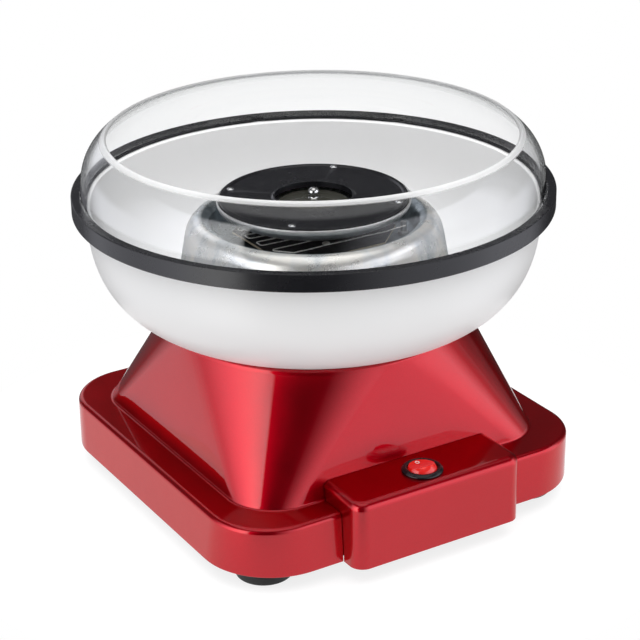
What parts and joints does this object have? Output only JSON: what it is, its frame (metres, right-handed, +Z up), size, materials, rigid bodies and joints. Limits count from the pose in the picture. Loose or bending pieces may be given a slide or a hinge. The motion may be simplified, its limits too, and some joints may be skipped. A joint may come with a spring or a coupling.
{
  "type": "cotton candy machine",
  "caption": "Table-top cotton candy machine: square tapered base with a front switch box, round bowl with a clear guard, and a heated spinning sugar head.",
  "frame": {"origin": "on the spin axis of the head, at the level of the table under the feet", "axes": "+Z up along the spin axis, -Y towards the front with the switch box, +X to the right seen from the front"},
  "size_m": [0.274, 0.274, 0.2136],
  "materials": {
    "red_lacquer": "high-gloss candy red lacquer on a moulded plastic shell",
    "red_plastic": "glossy bright red",
    "black_plastic": "semi-gloss black",
    "white_plastic": "glossy white",
    "clear_plastic": "clear, polished",
    "black_rubber": "matt",
    "polished_aluminium": "polished",
    "steel": "turned or plated",
    "brass": "plain",
    "copper_windings": "enamelled copper",
    "ferrite": "matt",
    "mica": "satin sheet",
    "nichrome": "drawn wire",
    "ceramic": "fired, unglazed",
    "circuit_board": "glass-fibre laminate",
    "wire_sleeve": "silicone sleeve"
  },
  "bodies": {
    "base": {"base_housing": "red_lacquer", "switch_box": "red_lacquer", "switch_body": "black_plastic", "switch_terminal_1": "brass", "switch_terminal_2": "brass", "base_cover": "black_plastic", "cord_bush": "black_rubber", "foot_front_left": "black_rubber", "foot_front_right": "black_rubber", "foot_back_left": "black_rubber", "foot_back_right": "black_rubber", "cover_screw_1": "steel", "cover_screw_2": "steel", "cover_screw_3": "steel", "cover_screw_4": "steel", "motor_can": "steel", "motor_end_cap": "black_plastic", "motor_bearing": "brass", "magnet_1": "ferrite", "magnet_2": "ferrite", "motor_bracket": "steel", "bracket_grommet_1": "black_rubber", "bracket_grommet_2": "black_rubber", "bracket_grommet_3": "black_rubber", "bracket_screw_1": "steel", "bracket_screw_2": "steel", "bracket_screw_3": "steel", "heater_bowl": "polished_aluminium", "heater_board": "mica", "heating_wire": "nichrome", "ceramic_post_1": "ceramic", "ceramic_post_2": "ceramic", "ceramic_post_3": "ceramic", "terminal_post_1": "steel", "terminal_post_2": "steel", "thermal_cutout": "ceramic", "rectifier_board": "circuit_board", "bridge_rectifier": "black_plastic", "filter_capacitor": "black_plastic", "mains_lead": "wire_sleeve", "heater_lead_front": "wire_sleeve", "heater_lead_back": "wire_sleeve", "motor_lead": "wire_sleeve"},
    "rotor": {"spindle": "steel", "drive_pin": "steel", "armature": "copper_windings", "commutator": "copper_windings", "cooling_fan": "black_plastic"},
    "head": {"head_disc": "black_plastic", "head_pan": "polished_aluminium", "head_hub": "black_plastic", "head_rivet_1": "polished_aluminium", "head_rivet_2": "polished_aluminium", "head_rivet_3": "polished_aluminium", "head_rivet_4": "polished_aluminium"},
    "rocker": {"rocker": "red_plastic"},
    "bowl": {"bowl": "white_plastic", "rim_ring": "black_plastic"},
    "guard": {"guard": "clear_plastic"}
  },
  "joints": [
    {"name": "rotor_spin", "type": "hinge", "parent": "base", "child": "rotor", "pos_m": [0, 0, 0.1], "axis": [0, 0, 1], "continuous": true},
    {"name": "head_lift", "type": "slide", "parent": "rotor", "child": "head", "axis": [0, 0, 1], "range_m": [0, 0.06]},
    {"name": "rocker_tilt", "type": "hinge", "parent": "base", "child": "rocker", "pos_m": [-0.0025, -0.115, 0.0478], "axis": [1, 0, 0], "range_deg": [0, 21]},
    {"name": "bowl_lift", "type": "slide", "parent": "base", "child": "bowl", "axis": [0, 0, 1], "range_m": [0, 0.12]},
    {"name": "guard_lift", "type": "slide", "parent": "bowl", "child": "guard", "axis": [0, 0, 1], "range_m": [0, 0.08]}
  ]
}
